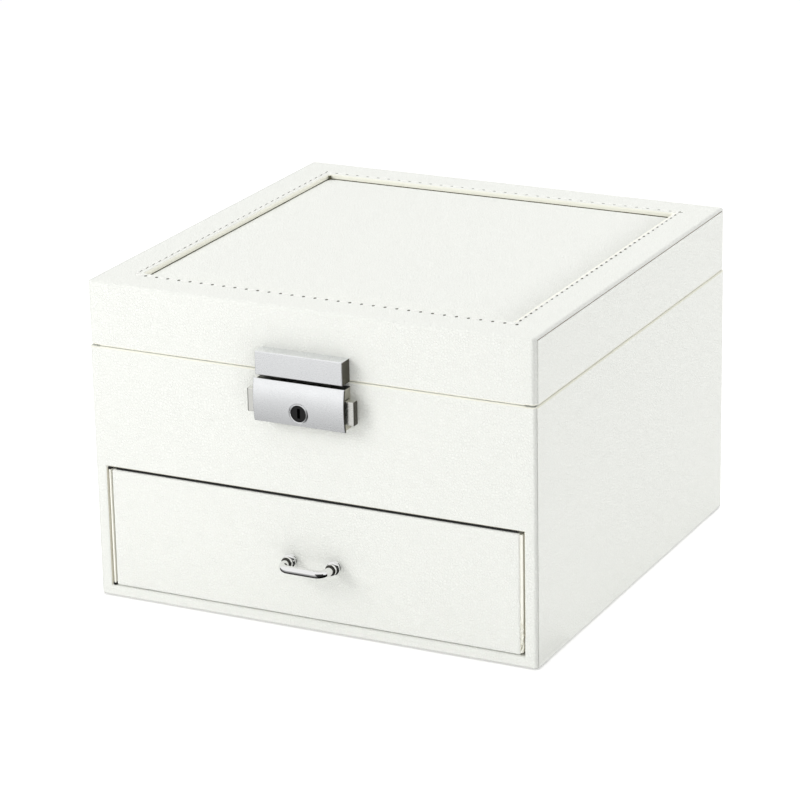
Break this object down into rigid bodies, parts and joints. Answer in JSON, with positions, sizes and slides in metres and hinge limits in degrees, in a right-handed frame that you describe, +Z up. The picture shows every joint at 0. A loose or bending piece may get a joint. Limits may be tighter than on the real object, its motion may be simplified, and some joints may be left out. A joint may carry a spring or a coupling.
{
  "type": "ring box with drawer",
  "caption": "Square two-level ring and jewellery box in white leathercloth, with a padded lid, push-button lock, ring tray and a lower drawer with a bar handle.",
  "frame": {"origin": "centre of the underside of the case, on the surface that the box stands on", "axes": "+Z up, -Y towards the front with the lock and the drawer, +X to the right of a person facing the front"},
  "size_m": [0.175, 0.1884, 0.1206],
  "materials": {
    "white_leathercloth": "fine pebble grain, satin",
    "board": "raw fibreboard",
    "covered_board": "smooth cream covering",
    "base_cloth": "short flock",
    "velvet": "short velvet pile",
    "satin_nickel": "satin nickel plate",
    "lock_steel": "nickel-plated steel",
    "chrome": "polished chrome",
    "mirror_rim": "covered card frame",
    "mirror_glass": "silvered glass"
  },
  "bodies": {
    "case": {"base_board": "board", "left_board": "board", "right_board": "board", "back_board": "board", "front_board": "board", "shelf_board": "board", "front_skin": "white_leathercloth", "back_skin": "white_leathercloth", "left_skin": "white_leathercloth", "right_skin": "white_leathercloth", "base_sheet": "base_cloth", "bay_lining": "covered_board", "tray_lining": "velvet", "tray_divider": "velvet", "tray_cross_dividers": "velvet", "ring_rolls": "velvet", "case_hinge_leaves": "lock_steel", "hinge_pins": "lock_steel", "case_hinge_screws": "lock_steel", "lock_case": "satin_nickel", "lock_cover": "satin_nickel", "lock_screws": "lock_steel", "key_bezel": "chrome", "left_spring": "lock_steel", "right_spring": "lock_steel"},
    "lid": {"lid_front_rail": "board", "lid_back_rail": "board", "lid_left_rail": "board", "lid_right_rail": "board", "lid_top_board": "board", "border_board": "board", "lid_wrap": "white_leathercloth", "lid_left_skin": "white_leathercloth", "lid_right_skin": "white_leathercloth", "lid_pad": "white_leathercloth", "lid_lining": "velvet", "mirror_frame": "mirror_rim", "mirror": "mirror_glass", "strike_block": "satin_nickel", "keeper": "lock_steel", "strike_screws": "lock_steel", "lid_hinge_leaves": "lock_steel", "lid_hinge_screws": "lock_steel"},
    "drawer": {"drawer_front_board": "board", "drawer_skin": "white_leathercloth", "drawer_left_side": "covered_board", "drawer_right_side": "covered_board", "drawer_back": "covered_board", "drawer_bottom": "covered_board", "drawer_lining": "velvet", "drawer_divider": "velvet", "drawer_cross_dividers": "velvet", "handle_bar": "chrome", "handle_collars": "chrome", "handle_screws": "lock_steel"},
    "left_button": {"left_slider": "satin_nickel"},
    "right_button": {"right_slider": "satin_nickel"},
    "key": {"key_plug": "chrome", "lock_cam": "lock_steel"}
  },
  "joints": [
    {"name": "lid_hinge", "type": "hinge", "parent": "case", "child": "lid", "pos_m": [0, 0.08875, 0.0964], "axis": [-1, 0, 0], "range_deg": [0, 100]},
    {"name": "drawer_slide", "type": "slide", "parent": "case", "child": "drawer", "axis": [0, -1, 0], "range_m": [0, 0.11]},
    {"name": "left_button_press", "type": "slide", "parent": "case", "child": "left_button", "axis": [1, 0, 0], "range_m": [0, 0.0016], "stiffness_N_per_m": 300, "springref_m": -0.001, "deforming": ["left_spring"]},
    {"name": "right_button_press", "type": "slide", "parent": "case", "child": "right_button", "axis": [-1, 0, 0], "range_m": [0, 0.0016], "stiffness_N_per_m": 300, "springref_m": -0.001, "deforming": ["right_spring"]},
    {"name": "key_turn", "type": "hinge", "parent": "case", "child": "key", "pos_m": [0, -0.0905, 0.0842], "axis": [0, 1, 0], "range_deg": [0, 90]}
  ]
}
